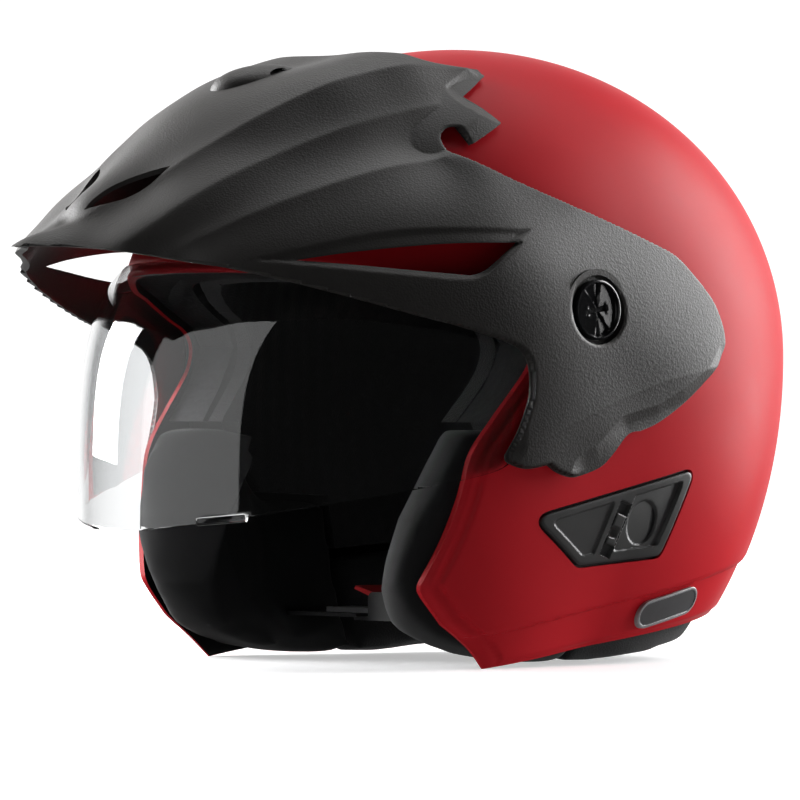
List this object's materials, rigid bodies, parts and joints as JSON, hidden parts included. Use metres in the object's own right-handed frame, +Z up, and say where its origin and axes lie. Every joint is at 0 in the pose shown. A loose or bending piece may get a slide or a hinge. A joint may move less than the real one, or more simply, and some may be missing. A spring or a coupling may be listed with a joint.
{
  "type": "motorcycle helmet",
  "caption": "Open-face motorcycle helmet with a long vented peak, a clear hinged visor, sliding side vents, padded lining and a lever-buckle chin strap.",
  "frame": {"origin": "centre of the bounding box's base, on the plane the cheek corners and the neck roll rest on", "axes": "the face opening looks along -Y, +X is the wearer's left, +Z up"},
  "size_m": [0.2572, 0.3721, 0.2537],
  "materials": {
    "shell_red": "satin painted composite",
    "foam_black": "moulded impact foam",
    "lining_cloth": "brushed knit lining",
    "cheek_cloth": "smooth padded cloth",
    "peak_plastic": "fine grained",
    "dark_plastic": "satin",
    "vent_grey": "satin",
    "screw_black": "glossy",
    "badge_grey": "satin, light rim",
    "visor_clear": "clear polycarbonate, polished",
    "steel": "brushed",
    "lever_red": "satin",
    "webbing": "woven strap"
  },
  "bodies": {
    "helmet": {"badge_left": "badge_grey", "badge_right": "badge_grey", "buckle_body": "dark_plastic", "buckle_pin": "steel", "buckle_spring": "steel", "buckle_tongue": "steel", "cheek_pad_left": "cheek_cloth", "cheek_pad_right": "cheek_cloth", "chin_pad": "cheek_cloth", "chin_strap_left": "webbing", "chin_strap_right": "webbing", "crown_liner": "lining_cloth", "eps_liner": "foam_black", "neck_roll": "lining_cloth", "outer_shell": "shell_red", "peak": "peak_plastic", "peak_centre_stud": "dark_plastic", "scoop_cover": "dark_plastic", "screw_nut_left": "steel", "screw_nut_right": "steel", "spring_washer_left": "steel", "spring_washer_right": "steel", "strap_hanger_left": "steel", "strap_hanger_right": "steel", "strap_rivet_left": "steel", "strap_rivet_right": "steel", "vent_frame_left": "vent_grey", "vent_frame_right": "vent_grey", "visor_pivot_plate_left": "dark_plastic", "visor_pivot_plate_right": "dark_plastic"},
    "visor": {"visor": "visor_clear"},
    "peak_screw_left": {"peak_screw_left": "screw_black"},
    "peak_screw_right": {"peak_screw_right": "screw_black"},
    "vent_slider_left": {"vent_slider_left": "vent_grey"},
    "vent_slider_right": {"vent_slider_right": "vent_grey"},
    "buckle_lever": {"buckle_lever": "lever_red"}
  },
  "joints": [
    {"name": "visor_pivot", "type": "hinge", "parent": "helmet", "child": "visor", "pos_m": [0, 0.013, 0.144], "axis": [-1, 0, 0], "range_deg": [0, 28]},
    {"name": "peak_screw_left_turn", "type": "hinge", "parent": "helmet", "child": "peak_screw_left", "pos_m": [0.1266, 0.013, 0.144], "axis": [1, 0, 0], "range_deg": [0, 90]},
    {"name": "peak_screw_right_turn", "type": "hinge", "parent": "helmet", "child": "peak_screw_right", "pos_m": [-0.1266, 0.013, 0.144], "axis": [-1, 0, 0], "range_deg": [0, 90]},
    {"name": "vent_slide_left", "type": "slide", "parent": "helmet", "child": "vent_slider_left", "axis": [0.2781, 0.2821, 0.9182], "range_m": [-0.0045, 0.005]},
    {"name": "vent_slide_right", "type": "slide", "parent": "helmet", "child": "vent_slider_right", "axis": [-0.2781, 0.2821, 0.9182], "range_m": [-0.0045, 0.005]},
    {"name": "buckle_lever_lift", "type": "hinge", "parent": "helmet", "child": "buckle_lever", "pos_m": [0.014, 0.016, 0.0252], "axis": [0, 1, 0], "range_deg": [0, 35]}
  ]
}
